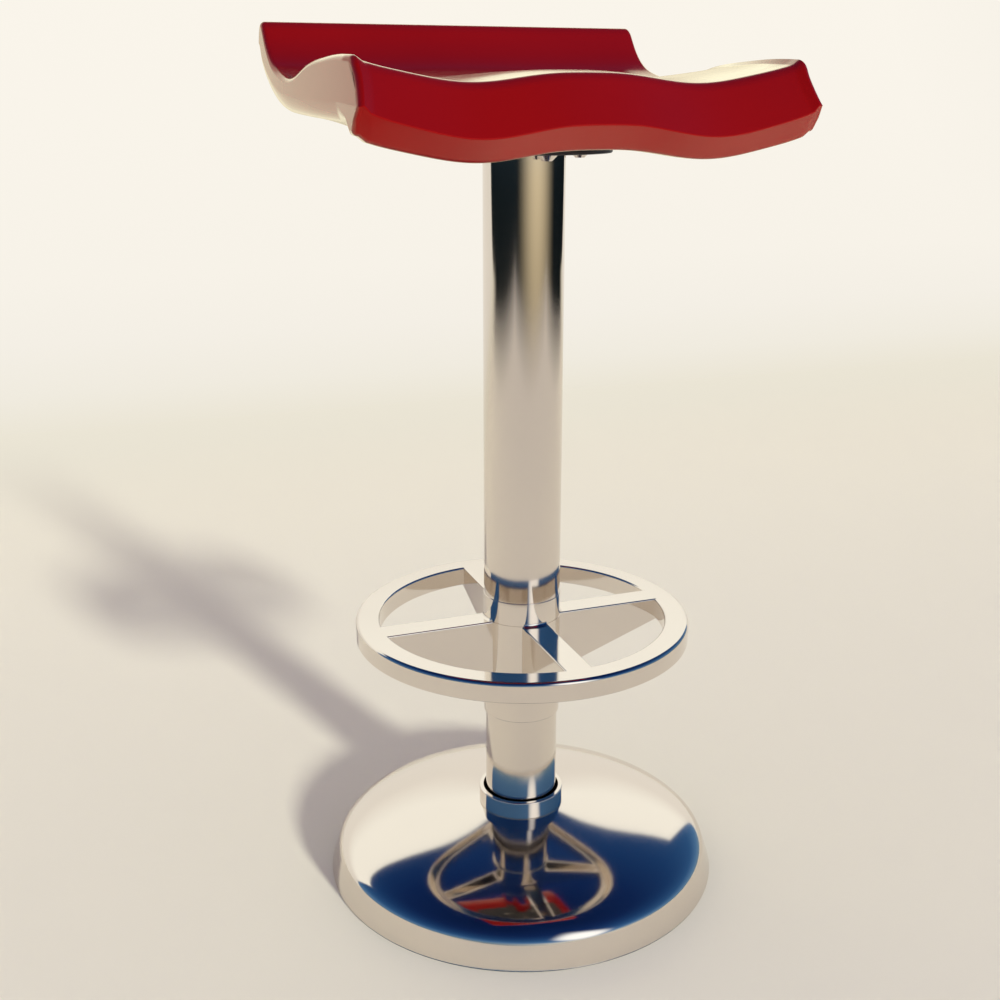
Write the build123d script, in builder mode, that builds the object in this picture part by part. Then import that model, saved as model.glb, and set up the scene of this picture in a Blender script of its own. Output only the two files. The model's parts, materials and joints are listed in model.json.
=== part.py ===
from build123d import *
import os
from math import atan2, cos, pi, radians, sin, tan

# Height-adjustable bar stool: domed base, telescoping gas lift column, cast foot ring and moulded seat.
# The origin lies on the floor at the column's axis, +Z is up and the seat's wavy front edge faces -Y.
# The stool stands at the height that the photograph shows, part way up the gas lift's stroke.

# Fits and overruns
running_fit = 0.08
fixed_fit = 0.02
clear_gap = 0.4
over = 2.0

# Domed base
base_radius = 200.0
wall_lean = 7.6
wall_top = 24.8
pad_height = 66.0
pad_slope = 8.5
shell_wall = 2.0
dome_steps = 24

# Rubber ring under the base
floor_ring_height = 3.0
floor_lip_height = 0.8
floor_lip_inset = 0.5
floor_ring_width = 28.0

# Cast weight inside the base
ballast_inset = 11.0
ballast_thickness = 8.0
ballast_chamfer = 2.0
ballast_hub_radius = 62.0
ballast_hub_height = 12.0
rod_pocket_radius = 12.0
socket_depth = 9.0

# Fixed chromed tube and its welded flange
lower_tube_radius = 36.5
lower_tube_wall = 2.0
lower_tube_top = 520.0
flange_radius = 58.0
flange_thickness = 6.0
flange_screw_circle = 47.0
flange_screw_count = 4
flange_screw_radius = 4.0
flange_screw_depth = 10.0
flange_screw_flats = 13.0
flange_screw_head = 5.3
flange_hole_play = 0.3

# Trim collar on the base and the rubber buffer in its mouth
collar_radius = 43.5
collar_height = 18.0
collar_floor = 2.0
collar_chamfer = 0.8
mouth_gap = 0.5
buffer_height = 2.0

# Outer tube of the gas lift
lift_tube_radius = 25.0
lift_tube_wall = 1.8
lift_tube_top = 415.0
foot_cap_height = 5.0
guide_bush_length = 65.0
guide_bush_rim = 3.0
spacer_height = 15.0
cap_spigot_height = 20.0
cap_rim_height = 6.0
cap_bore_radius = 18.0
cap_chamfer = 1.0

# Thrust bearing and rod
race_radius = 13.0
race_thickness = 2.0
ball_radius = 2.0
ball_circle = 9.0
ball_count = 10
bearing_play = 0.05
cage_height = 1.5
cage_margin = 0.6
rod_radius = 5.0
rod_end_radius = 4.0
rod_end_reach = 4.0
rod_tip_radius = 3.0
rod_chamfer = 0.8
clip_thickness = 1.6
clip_radius = 7.5
clip_groove = 1.0
clip_mouth = 5.0
piston_height = 12.0
piston_groove = 1.2
piston_groove_height = 3.0

# Gas cylinder, which the seat carries
cylinder_radius = 14.0
cylinder_wall = 2.0
cylinder_foot = 190.0
cylinder_head = 24.0
taper_length = 44.0
taper_drop = 0.9
gland_height = 10.0
cylinder_chamfer = 0.8
button_radius = 4.0
button_length = 18.0
button_socket = 13.0
button_chamfer = 0.8

# Foot ring casting
ring_radius = 166.8
ring_inner_radius = 143.2
ring_top = 277.0
ring_height = 19.5
ring_round = 3.8
ring_edge = 1.5
hub_radius = 38.5
hub_foot = 173.0
hub_top = 301.0
rebate_height = 10.0
rebate_depth = 0.55
hub_chamfer = 0.5
spoke_count = 4
spoke_width = 27.0
spoke_bevel = 1.2
gusset_depth = 63.0
casting_wall = 3.5
seam_height = 0.8
seam_depth = 0.3
bush_length = 16.5
bush_wall = 0.92
bush_inset = 0.5

# Cover tube and the plate under the seat
cover_radius = 38.0
cover_wall = 1.1
plate_foot = 726.0
plate_radius = 80.0
plate_thickness = 4.0
plate_edge = 0.8
plate_hub_radius = 20.0
plate_hub_height = 46.0
plate_bore_radius = 8.0
spigot_height = 10.0
spigot_wall = 3.0
seat_screw_circle = 55.0
seat_screw_count = 4
seat_screw_radius = 3.0
seat_screw_head_radius = 10.0
seat_screw_tip_radius = 4.5
seat_screw_head_height = 5.6
seat_screw_depth = 12.0
screw_hex_flats = 5.0
screw_hex_depth = 3.0
screw_hole_play = 0.3
insert_radius = 5.0
insert_length = 15.0
insert_recess = 1.0

# Release lever, which presses the valve button
lever_heading = 25.0
lever_radius = 4.0
lever_rise = 8.0
lever_pivot = 40.0
lever_tip = 150.0
lever_tail = 5.0
lever_eye_radius = 6.0
lever_eye_length = 8.0
lever_pin_radius = 2.0
lever_ear_thickness = 3.0
lever_ear_length = 14.0
lever_ear_gap = 0.3
grip_length = 38.0
grip_radius = 7.0
grip_round = 3.0

# Moulded seat
seat_half_width = 197.25
seat_front = -176.5
seat_depth = 392.5
seat_foot = 745.5
seat_rise = 98.0
dip_depth = 10.0
end_rise = 14.0
dip_sharpness = 1.5
end_sharpness = 8
front_round = 6.0
nose_length = 46.0
nose_taper = 6.0
panel_top = 763.5
panel_wall = 4.0
panel_half_width = 160.0
panel_front = 84.0
panel_back = 88.0
panel_corner = 30.0
panel_gap = 0.3
panel_ledge = 6.0
hollow_top = 779.0
channel_width = 18.0
channel_height = 18.0

# Sizes worked out from those above
wall_angle = atan2(wall_top - floor_lip_height, wall_lean)
wall_radius = base_radius - wall_lean
wall_inset = shell_wall / sin(wall_angle)
foot_inset = wall_inset + (floor_ring_height - floor_lip_height) / tan(wall_angle)
foot_radius = base_radius - foot_inset
ballast_radius = base_radius - ballast_inset
tube_bore = lower_tube_radius - lower_tube_wall
ballast_foot = floor_ring_height
ballast_top = ballast_foot + ballast_thickness
hub_face = ballast_top + ballast_hub_height
socket_floor = hub_face - socket_depth
flange_top = hub_face + flange_thickness
collar_top = pad_height + collar_height
mouth_radius = hub_radius + mouth_gap
buffer_top = pad_height + collar_floor + buffer_height
lift_bore = lift_tube_radius - lift_tube_wall
race_foot = socket_floor + foot_cap_height
ball_height = race_foot + race_thickness + bearing_play + ball_radius
upper_race_foot = ball_height + ball_radius + bearing_play
rod_shoulder = upper_race_foot + race_thickness
clip_top = socket_floor - bearing_play
cylinder_bore = cylinder_radius - cylinder_wall
gland_top = cylinder_foot + gland_height
cover_bore = cover_radius - cover_wall
plate_top = plate_foot + plate_thickness
cylinder_top = plate_foot - cylinder_wall
bearing_bore = rod_end_radius + clear_gap
stroke_down = hub_foot - buffer_top
stroke_up = 95.0
piston_foot = gland_top + stroke_up + clear_gap
piston_top = piston_foot + piston_height
lever_height = plate_top + lever_rise
button_top = lever_height - lever_radius
button_foot = button_top - button_length
turned_radius = cover_radius - rebate_depth
spoke_root = hub_radius - cover_wall
spoke_tip = (ring_radius + ring_inner_radius) / 2


# A ring of rectangular section about the column's axis
def ring_section(inner, outer, foot, top):
    with Locations(((inner + outer) / 2, (foot + top) / 2)):
        Rectangle(outer - inner, top - foot)


# A vertical plane square to a heading, whose own axes run sideways and up
def radial_plane(radius, heading):
    side, ahead = sin(radians(heading)), cos(radians(heading))
    return Plane(origin=(radius * ahead, radius * side, 0), x_dir=(-side, ahead, 0), z_dir=(ahead, side, 0))


# The part's circular edges at one height, from the smallest to the largest
def rims(part, height):
    circles = part.edges().filter_by(GeomType.CIRCLE)
    level = circles.filter_by(lambda edge: abs(edge.center().Z - height) < fixed_fit)
    return level.sort_by(lambda edge: edge.radius)


# Rubber ring that grips the floor and carries the shell's edge on a thin lip
with BuildPart() as floor_ring:
    with BuildSketch(Plane.XZ):
        with BuildLine():
            inner = foot_radius - floor_ring_width
            outer = base_radius - floor_lip_inset
            body = foot_radius - clear_gap
            Polyline(
                (inner, 0),
                (outer, 0),
                (outer, floor_lip_height),
                (body, floor_lip_height),
                (body, floor_ring_height),
                (inner, floor_ring_height),
                close=True,
            )
        make_face()
    revolve(axis=Axis.Z)
floor_ring.part.label = "floor_ring"

# Cast weight with a boss that takes the tube's flange and the gas lift's foot
with BuildPart() as ballast_plate:
    with BuildSketch(Plane.XY.offset(ballast_foot)):
        Circle(ballast_radius)
    extrude(amount=ballast_thickness)
    chamfer(rims(ballast_plate, ballast_top)[-1], ballast_chamfer)
    with BuildSketch(Plane.XY.offset(ballast_top)):
        Circle(ballast_hub_radius)
    extrude(amount=ballast_hub_height)
    with BuildSketch(Plane.XY.offset(socket_floor)):
        Circle(lift_tube_radius + fixed_fit)
    extrude(amount=socket_depth + over, mode=Mode.SUBTRACT)
    with BuildSketch(Plane.XY):
        Circle(rod_pocket_radius)
    extrude(amount=hub_face, mode=Mode.SUBTRACT)
    with BuildSketch(Plane.XY.offset(hub_face - flange_screw_depth)):
        with PolarLocations(flange_screw_circle, flange_screw_count):
            Circle(flange_screw_radius + fixed_fit)
    extrude(amount=flange_screw_depth + over, mode=Mode.SUBTRACT)
ballast_plate.part.label = "ballast_plate"


# Spun shell: a low dome that rolls over a tight shoulder into a leaning wall. Each share is of the way
# from the collar to the wall, then of the way from the wall's top to the pad
dome_shares = ((0, 1), (0.3795, 0.7985), (0.7153, 0.5558), (0.8899, 0.3374), (0.9704, 0.1553), (1, 0))
with BuildPart() as base_shell:
    with BuildSketch(Plane.XZ):
        with BuildLine():
            hole = lower_tube_radius + fixed_fit
            reach, rise = wall_radius - collar_radius, pad_height - wall_top
            dome_points = [(collar_radius + out * reach, wall_top + up * rise) for out, up in dome_shares]
            pad_heading = (cos(radians(pad_slope)), -sin(radians(pad_slope)))
            dome = Spline(*dome_points, tangents=(pad_heading, (cos(wall_angle), -sin(wall_angle))))
            inner_points = []
            for step in range(dome_steps + 1):
                heading = dome % (step / dome_steps)
                inner_points.append(dome @ (step / dome_steps) + Vector(heading.Y, -heading.X) * shell_wall)
            inside = Spline(*inner_points)
            Polyline(dome @ 0, (hole, pad_height), (hole, pad_height - shell_wall), inside @ 0)
            Polyline(
                dome @ 1,
                (base_radius, floor_lip_height),
                (base_radius - wall_inset, floor_lip_height),
                inside @ 1,
            )
        make_face()
    revolve(axis=Axis.Z)
base_shell.part.label = "base_shell"

# Trim collar: a cup whose mouth takes the foot ring's hub at the bottom of the stroke
with BuildPart() as base_collar:
    with BuildSketch(Plane.XZ):
        ring_section(lower_tube_radius + fixed_fit, collar_radius, pad_height, collar_top)
    revolve(axis=Axis.Z)
    with BuildSketch(Plane.XY.offset(pad_height + collar_floor)):
        Circle(mouth_radius)
    extrude(amount=collar_height, mode=Mode.SUBTRACT)
    chamfer(rims(base_collar, collar_top), collar_chamfer)
    chamfer(rims(base_collar, pad_height)[-1], collar_chamfer)
base_collar.part.label = "base_collar"

with BuildPart() as buffer_ring:
    with BuildSketch(Plane.XZ):
        inner, outer = lower_tube_radius + fixed_fit, mouth_radius - fixed_fit
        ring_section(inner, outer, pad_height + collar_floor, buffer_top)
    revolve(axis=Axis.Z)
buffer_ring.part.label = "buffer_ring"

# Fixed chromed tube that the cover tube slides over
with BuildPart() as lower_tube:
    with BuildSketch(Plane.XZ):
        ring_section(tube_bore, lower_tube_radius, hub_face, lower_tube_top)
    revolve(axis=Axis.Z)
lower_tube.part.label = "lower_tube"

with BuildPart() as tube_flange:
    with BuildSketch(Plane.XZ):
        ring_section(lower_tube_radius + fixed_fit, flange_radius, hub_face, flange_top)
    revolve(axis=Axis.Z)
    with BuildSketch(Plane.XY.offset(hub_face)):
        with PolarLocations(flange_screw_circle, flange_screw_count):
            Circle(flange_screw_radius + flange_hole_play)
    extrude(amount=flange_thickness, mode=Mode.SUBTRACT)
tube_flange.part.label = "tube_flange"

with BuildPart() as flange_screws:
    with BuildSketch(Plane.XY.offset(hub_face - flange_screw_depth)):
        with PolarLocations(flange_screw_circle, flange_screw_count):
            Circle(flange_screw_radius)
    extrude(amount=flange_screw_depth + flange_thickness)
    with BuildSketch(Plane.XY.offset(flange_top)):
        with PolarLocations(flange_screw_circle, flange_screw_count):
            RegularPolygon(flange_screw_flats / 2, 6, major_radius=False)
    extrude(amount=flange_screw_head)
flange_screws.part.label = "flange_screws"

# Outer tube of the gas lift, standing in the weight's socket
with BuildPart() as lift_tube:
    with BuildSketch(Plane.XZ):
        ring_section(lift_bore, lift_tube_radius, socket_floor, lift_tube_top)
    revolve(axis=Axis.Z)
lift_tube.part.label = "lift_tube"

with BuildPart() as foot_cap:
    with BuildSketch(Plane.XZ):
        ring_section(bearing_bore, lift_bore - fixed_fit, socket_floor, race_foot)
    revolve(axis=Axis.Z)
foot_cap.part.label = "foot_cap"

# Nylon bush in the mouth of the outer tube, which guides the gas cylinder
with BuildPart() as guide_bush:
    bush_bore = cylinder_radius + running_fit
    with BuildSketch(Plane.XZ):
        ring_section(bush_bore, lift_bore - fixed_fit, lift_tube_top - guide_bush_length, lift_tube_top)
        ring_section(bush_bore, lift_tube_radius, lift_tube_top, lift_tube_top + guide_bush_rim)
    revolve(axis=Axis.Z)
guide_bush.part.label = "guide_bush"

with BuildPart() as column_spacer:
    with BuildSketch(Plane.XZ):
        inner, outer = lift_tube_radius + fixed_fit, tube_bore - fixed_fit
        ring_section(inner, outer, lift_tube_top - spacer_height, lift_tube_top)
    revolve(axis=Axis.Z)
column_spacer.part.label = "column_spacer"

# Nylon cap on the fixed tube, whose rim runs inside the cover tube
with BuildPart() as column_cap:
    cap_top = lower_tube_top + cap_rim_height
    with BuildSketch(Plane.XZ):
        ring_section(cap_bore_radius, tube_bore - fixed_fit, lower_tube_top - cap_spigot_height, cap_top)
        ring_section(cap_bore_radius, cover_bore - running_fit, lower_tube_top, cap_top)
    revolve(axis=Axis.Z)
    chamfer(rims(column_cap, cap_top)[-1], cap_chamfer)
column_cap.part.label = "column_cap"

# Thrust bearing under the rod's shoulder
with BuildPart() as lower_race:
    with BuildSketch(Plane.XZ):
        ring_section(bearing_bore, race_radius, race_foot, race_foot + race_thickness)
    revolve(axis=Axis.Z)
lower_race.part.label = "lower_race"

with BuildPart() as upper_race:
    with BuildSketch(Plane.XZ):
        ring_section(rod_end_radius + fixed_fit, race_radius, upper_race_foot, rod_shoulder)
    revolve(axis=Axis.Z)
upper_race.part.label = "upper_race"

with BuildPart() as bearing_balls:
    with Locations((0, 0, ball_height)):
        with PolarLocations(ball_circle, ball_count):
            Sphere(ball_radius)
bearing_balls.part.label = "bearing_balls"

with BuildPart() as ball_cage:
    with BuildSketch(Plane.XY.offset(ball_height - cage_height / 2)):
        Circle(ball_circle + ball_radius + cage_margin)
        Circle(ball_circle - ball_radius - cage_margin, mode=Mode.SUBTRACT)
        with PolarLocations(ball_circle, ball_count):
            Circle(ball_radius + bearing_play, mode=Mode.SUBTRACT)
    extrude(amount=cage_height)
ball_cage.part.label = "ball_cage"

# Piston rod: a shoulder on the bearing, a groove for the clip and a tip for the piston
with BuildPart() as piston_rod:
    rod_foot = clip_top - clip_thickness - rod_end_reach
    groove_radius = rod_end_radius - clip_groove
    with BuildSketch(Plane.XY.offset(rod_foot)):
        Circle(rod_end_radius)
    extrude(amount=rod_shoulder - rod_foot)
    with BuildSketch(Plane.XY.offset(rod_shoulder)):
        Circle(rod_radius)
    extrude(amount=piston_foot - rod_shoulder)
    with BuildSketch(Plane.XY.offset(piston_foot)):
        Circle(rod_tip_radius)
    extrude(amount=piston_height + rod_tip_radius)
    with BuildSketch(Plane.XY.offset(clip_top - clip_thickness)):
        Circle(rod_radius)
        Circle(groove_radius, mode=Mode.SUBTRACT)
    extrude(amount=clip_thickness, mode=Mode.SUBTRACT)
    chamfer(rims(piston_rod, rod_foot)[-1], rod_chamfer)
piston_rod.part.label = "piston_rod"

with BuildPart() as rod_clip:
    with BuildSketch(Plane.XY.offset(clip_top - clip_thickness)):
        Circle(clip_radius)
        Circle(groove_radius + fixed_fit, mode=Mode.SUBTRACT)
        with Locations((clip_radius / 2, 0)):
            Rectangle(clip_radius + over, clip_mouth, mode=Mode.SUBTRACT)
    extrude(amount=clip_thickness)
rod_clip.part.label = "rod_clip"

# Piston with a groove for its seal
with BuildPart() as piston:
    with BuildSketch(Plane.XZ):
        ring_section(rod_tip_radius + fixed_fit, cylinder_bore - running_fit, piston_foot, piston_top)
    revolve(axis=Axis.Z)
    with BuildSketch(Plane.XY.offset((piston_foot + piston_top - piston_groove_height) / 2)):
        Circle(cylinder_bore)
        Circle(cylinder_bore - running_fit - piston_groove, mode=Mode.SUBTRACT)
    extrude(amount=piston_groove_height, mode=Mode.SUBTRACT)
piston.part.label = "piston"

with BuildPart() as piston_seal:
    seal_foot = (piston_foot + piston_top - piston_groove_height) / 2
    with BuildSketch(Plane.XZ):
        inner, outer = cylinder_bore - running_fit - piston_groove, cylinder_bore - running_fit
        ring_section(inner, outer, seal_foot, seal_foot + piston_groove_height)
    revolve(axis=Axis.Z)
piston_seal.part.label = "piston_seal"

# Gas cylinder with a slow taper at its head and the valve button's socket
with BuildPart() as gas_cylinder:
    with BuildSketch(Plane.XZ):
        with BuildLine():
            Polyline(
                (0, cylinder_top - cylinder_head),
                (cylinder_bore, cylinder_top - cylinder_head),
                (cylinder_bore, cylinder_foot),
                (cylinder_radius, cylinder_foot),
                (cylinder_radius, cylinder_top - taper_length),
                (cylinder_radius - taper_drop, cylinder_top),
                (0, cylinder_top),
                close=True,
            )
        make_face()
    revolve(axis=Axis.Z)
    with BuildSketch(Plane.XY.offset(cylinder_top - button_socket)):
        Circle(button_radius + running_fit)
    extrude(amount=button_socket, mode=Mode.SUBTRACT)
    chamfer(rims(gas_cylinder, cylinder_foot)[-1], cylinder_chamfer)
gas_cylinder.part.label = "gas_cylinder"

with BuildPart() as rod_gland:
    with BuildSketch(Plane.XZ):
        ring_section(rod_radius + running_fit, cylinder_bore - fixed_fit, cylinder_foot, gland_top)
    revolve(axis=Axis.Z)
rod_gland.part.label = "rod_gland"

with BuildPart() as valve_button:
    with BuildSketch(Plane.XY.offset(button_foot)):
        Circle(button_radius)
    extrude(amount=button_length)
    chamfer(rims(valve_button, button_top)[-1], button_chamfer)
valve_button.part.label = "valve_button"

# Chromed tube between the seat plate and the foot ring, turned down to enter the hub
with BuildPart() as cover_tube:
    with BuildSketch(Plane.XZ):
        ring_section(cover_bore, cover_radius, hub_top, plate_foot)
        ring_section(cover_bore, turned_radius, hub_top - rebate_height, hub_top)
    revolve(axis=Axis.Z)
cover_tube.part.label = "cover_tube"


# One end of a spoke: a bevelled bar with a level top
def spoke_section(depth):
    half = spoke_width / 2
    Polygon(
        (-half, ring_top - depth),
        (half, ring_top - depth),
        (half, ring_top - spoke_bevel),
        (half - spoke_bevel, ring_top),
        (spoke_bevel - half, ring_top),
        (-half, ring_top - spoke_bevel),
        align=None,
    )


# Foot ring casting: rounded rim, four gusseted spokes and a long hub, cored out from below
with BuildPart() as foot_ring:
    with BuildSketch(Plane.XZ):
        ring_section(ring_inner_radius, ring_radius, ring_top - ring_height, ring_top)
    revolve(axis=Axis.Z)
    fillet(rims(foot_ring, ring_top)[-1], ring_round)
    fillet(rims(foot_ring, ring_top - ring_height), ring_edge)
    for number in range(spoke_count):
        heading = 360 * number / spoke_count
        with BuildSketch(radial_plane(spoke_root, heading)):
            spoke_section(gusset_depth)
        with BuildSketch(radial_plane(spoke_tip, heading)):
            spoke_section(ring_height - ring_edge)
        loft(ruled=True)
    core_top = ring_top - casting_wall
    with BuildSketch(Plane.XZ):
        ring_section(ring_inner_radius + casting_wall, ring_radius - casting_wall, hub_foot, core_top)
    revolve(axis=Axis.Z, mode=Mode.SUBTRACT)
    for number in range(spoke_count):
        heading = 360 * number / spoke_count
        with BuildSketch(radial_plane(hub_radius + casting_wall, heading)):
            with Locations((0, (core_top + hub_foot) / 2)):
                Rectangle(spoke_width - 2 * casting_wall, core_top - hub_foot)
        extrude(amount=spoke_tip - hub_radius - casting_wall, mode=Mode.SUBTRACT)
    with BuildSketch(Plane.XY.offset(hub_foot)):
        Circle(hub_radius)
    extrude(amount=hub_top - hub_foot)
    with BuildSketch(Plane.XZ):
        ring_section(hub_radius - seam_depth, hub_radius + over, ring_top, ring_top + seam_height)
    revolve(axis=Axis.Z, mode=Mode.SUBTRACT)
    with BuildSketch(Plane.XY.offset(hub_foot)):
        Circle(cover_bore)
    extrude(amount=hub_top - hub_foot, mode=Mode.SUBTRACT)
    with BuildSketch(Plane.XY.offset(hub_top - rebate_height)):
        Circle(turned_radius + fixed_fit)
    extrude(amount=rebate_height, mode=Mode.SUBTRACT)
    with BuildSketch(Plane.XY.offset(hub_foot)):
        Circle(lower_tube_radius + running_fit + bush_wall + fixed_fit)
    extrude(amount=bush_inset + bush_length, mode=Mode.SUBTRACT)
    chamfer(rims(foot_ring, hub_top)[-1], hub_chamfer)
    chamfer(rims(foot_ring, hub_foot)[-1], hub_chamfer)
foot_ring.part.label = "foot_ring"

# Nylon bush in the hub's foot, which runs on the fixed tube
with BuildPart() as sleeve_bush:
    bush_foot = hub_foot + bush_inset
    inner = lower_tube_radius + running_fit
    with BuildSketch(Plane.XZ):
        ring_section(inner, inner + bush_wall, bush_foot, bush_foot + bush_length)
    revolve(axis=Axis.Z)
sleeve_bush.part.label = "sleeve_bush"

# Ear length stands along the lever, ear spacing across it
ear_inner = lever_eye_length / 2 + lever_ear_gap
ear_outer = ear_inner + lever_ear_thickness
lever_plane = Plane(origin=(0, 0, 0), x_dir=radial_plane(lever_pivot, lever_heading).z_dir, z_dir=(0, 0, 1))
side_plane = Plane(
    origin=(0, 0, 0),
    x_dir=lever_plane.x_dir,
    z_dir=(sin(radians(lever_heading)), -cos(radians(lever_heading)), 0),
)

# Seat plate: a disc with a taper socket, a spigot for the cover tube and two ears for the lever's pin
with BuildPart() as seat_plate:
    with BuildSketch(Plane.XY.offset(plate_foot)):
        Circle(plate_radius)
    extrude(amount=plate_thickness)
    chamfer(rims(seat_plate, plate_foot)[-1], plate_edge)
    chamfer(rims(seat_plate, plate_top)[-1], plate_edge)
    with BuildSketch(Plane.XY.offset(plate_foot - plate_hub_height)):
        Circle(plate_hub_radius)
    extrude(amount=plate_hub_height)
    with BuildSketch(Plane.XZ):
        spigot_outer = cover_bore - fixed_fit
        ring_section(spigot_outer - spigot_wall, spigot_outer, plate_foot - spigot_height, plate_foot)
    revolve(axis=Axis.Z)
    with BuildSketch(Plane.XZ):
        with BuildLine():
            Polyline(
                (0, cylinder_top - taper_length - over),
                (cylinder_radius + fixed_fit, cylinder_top - taper_length - over),
                (cylinder_radius + fixed_fit, cylinder_top - taper_length),
                (cylinder_radius - taper_drop + fixed_fit, cylinder_top),
                (0, cylinder_top),
                close=True,
            )
        make_face()
    revolve(axis=Axis.Z, mode=Mode.SUBTRACT)
    with BuildSketch(Plane.XY.offset(cylinder_top)):
        Circle(plate_bore_radius)
    extrude(amount=plate_top - cylinder_top, mode=Mode.SUBTRACT)
    with BuildSketch(Plane.XY.offset(plate_foot)):
        with PolarLocations(seat_screw_circle, seat_screw_count):
            Circle(seat_screw_radius + screw_hole_play)
    extrude(amount=plate_thickness, mode=Mode.SUBTRACT)
    for side in (ear_inner, -ear_outer):
        with BuildSketch(side_plane.offset(side)):
            ear_radius = lever_ear_length / 2
            with Locations((lever_pivot, lever_height)):
                Circle(ear_radius)
            with Locations((lever_pivot, (lever_height + plate_top) / 2)):
                Rectangle(lever_ear_length, lever_height - plate_top)
            with Locations((lever_pivot, lever_height)):
                Circle(lever_pin_radius + fixed_fit, mode=Mode.SUBTRACT)
        extrude(amount=lever_ear_thickness)
seat_plate.part.label = "seat_plate"

with BuildPart() as lever_pin:
    with BuildSketch(side_plane.offset(-ear_outer - clear_gap)):
        with Locations((lever_pivot, lever_height)):
            Circle(lever_pin_radius)
    extrude(amount=2 * (ear_outer + clear_gap))
lever_pin.part.label = "lever_pin"

# Release lever: a round rod with an eye on the pin
with BuildPart() as release_lever:
    with BuildSketch(radial_plane(-lever_tail, lever_heading)):
        with Locations((0, lever_height)):
            Circle(lever_radius)
    extrude(amount=lever_tip - grip_round + lever_tail)
    with BuildSketch(side_plane.offset(-lever_eye_length / 2)):
        with Locations((lever_pivot, lever_height)):
            Circle(lever_eye_radius)
    extrude(amount=lever_eye_length)
    with BuildSketch(side_plane.offset(-lever_eye_length)):
        with Locations((lever_pivot, lever_height)):
            Circle(lever_pin_radius + running_fit)
    extrude(amount=2 * lever_eye_length, mode=Mode.SUBTRACT)
release_lever.part.label = "release_lever"

with BuildPart() as lever_grip:
    with BuildSketch(radial_plane(lever_tip - grip_length, lever_heading)):
        with Locations((0, lever_height)):
            Circle(grip_radius)
    extrude(amount=grip_length)
    fillet(lever_grip.edges().filter_by(GeomType.CIRCLE), grip_round)
    with BuildSketch(radial_plane(lever_tip - grip_length, lever_heading)):
        with Locations((0, lever_height)):
            Circle(lever_radius + fixed_fit)
    extrude(amount=grip_length - grip_round, mode=Mode.SUBTRACT)
lever_grip.part.label = "lever_grip"

# Places on the seat's end outline as shares of its depth and rise, each with the share of the front
# wave that it follows
top_shares = (
    (0.088, 0.593, 0.78),
    (0.180, 0.607, 0.52),
    (0.317, 0.597, 0.25),
    (0.468, 0.556, 0.08),
    (0.610, 0.466, 0),
    (0.715, 0.474, 0),
    (0.758, 0.502, 0),
    (0.847, 0.607, 0),
    (0.903, 0.770, 0),
    (0.936, 0.930, 0),
)
lip_shares = ((0.936, 0.930, 0), (0.966, 1.0, 0), (0.992, 0.908, 0), (1.0, 0.760, 0))
under_shares = (
    (1.0, 0.760, 0),
    (0.972, 0.556, 0),
    (0.908, 0.372, 0),
    (0.824, 0.240, 0),
    (0.735, 0.168, 0),
    (0.631, 0.138, 0),
    (0.366, 0.107, 0.15),
    (0.233, 0.095, 0.45),
    (0.106, 0.077, 0.80),
)
skirt_inner_share = (0.073, 0, 0.87)
skirt_outer_share = (0.040, 0, 0.87)
bevel_share = (0, 0.219, 1)
brow_share = (0.070, 0.587, 0.80)


# Depth of the front wave below the seat's ends at a share of the half width
def wave_drop(share):
    dip = ((1 - cos(2 * pi * share)) / 2) ** dip_sharpness
    return dip_depth * dip + end_rise * (1 - share**end_sharpness)


# A point of the seat's outline in the plane at one share of the half width
def seat_point(place, share):
    along, up, follow = place
    return Vector(seat_front + along * seat_depth, seat_foot + up * seat_rise - follow * wave_drop(share))


# A point at a set distance from one point towards another
def towards(start, end, distance):
    return start + (end - start).normalized() * distance


# Outline of the seat in one upright plane across its width
def seat_outline(share):
    top = [seat_point(place, share) for place in top_shares]
    lip = [seat_point(place, share) for place in lip_shares]
    under = [seat_point(place, share) for place in under_shares]
    brow = seat_point(brow_share, share)
    bevel = seat_point(bevel_share, share)
    outer = seat_point(skirt_outer_share, share)
    inner = seat_point(skirt_inner_share, share)
    bevel_round = front_round / 2
    with BuildLine() as outline:
        upper = Spline(*top)
        lower = Spline(*under)
        Spline(*lip, tangents=(upper % 1, lower % 0))
        Line(under[-1], inner)
        Line(inner, towards(outer, inner, bevel_round))
        Bezier(towards(outer, inner, bevel_round), outer, towards(outer, bevel, bevel_round))
        Line(towards(outer, bevel, bevel_round), towards(bevel, outer, bevel_round))
        Bezier(towards(bevel, outer, bevel_round), bevel, towards(bevel, brow, bevel_round))
        Line(towards(bevel, brow, bevel_round), towards(brow, bevel, front_round))
        Bezier(towards(brow, bevel, front_round), brow, top[0])
    make_face(outline.edges())


# Stations across the seat, closer together where the ends rise
station_shares = (0, 0.16, 0.32, 0.48, 0.64, 0.78, 0.89, 1)
with BuildPart() as seat_body:
    for share in [-share for share in reversed(station_shares[1:])] + list(station_shares):
        with BuildSketch(Plane.YZ.offset(share * seat_half_width)):
            seat_outline(abs(share))
    loft()
    for side in (1, -1):
        with BuildSketch(Plane.XY.offset(seat_foot - seat_rise)):
            with BuildLine():
                corner = side * seat_half_width
                Polyline(
                    (corner, seat_front + nose_length),
                    (corner - side * nose_taper, seat_front),
                    (corner - side * nose_taper, seat_front - over),
                    (corner + side * over, seat_front - over),
                    (corner + side * over, seat_front + nose_length),
                    close=True,
                )
            make_face()
        extrude(amount=3 * seat_rise, mode=Mode.SUBTRACT)


# Rounded opening of the seat's underside, drawn in by a margin
def panel_outline(margin):
    depth = panel_front + panel_back - 2 * margin
    with Locations((0, (panel_back - panel_front) / 2)):
        RectangleRounded(2 * (panel_half_width - margin), depth, panel_corner - margin)


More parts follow.
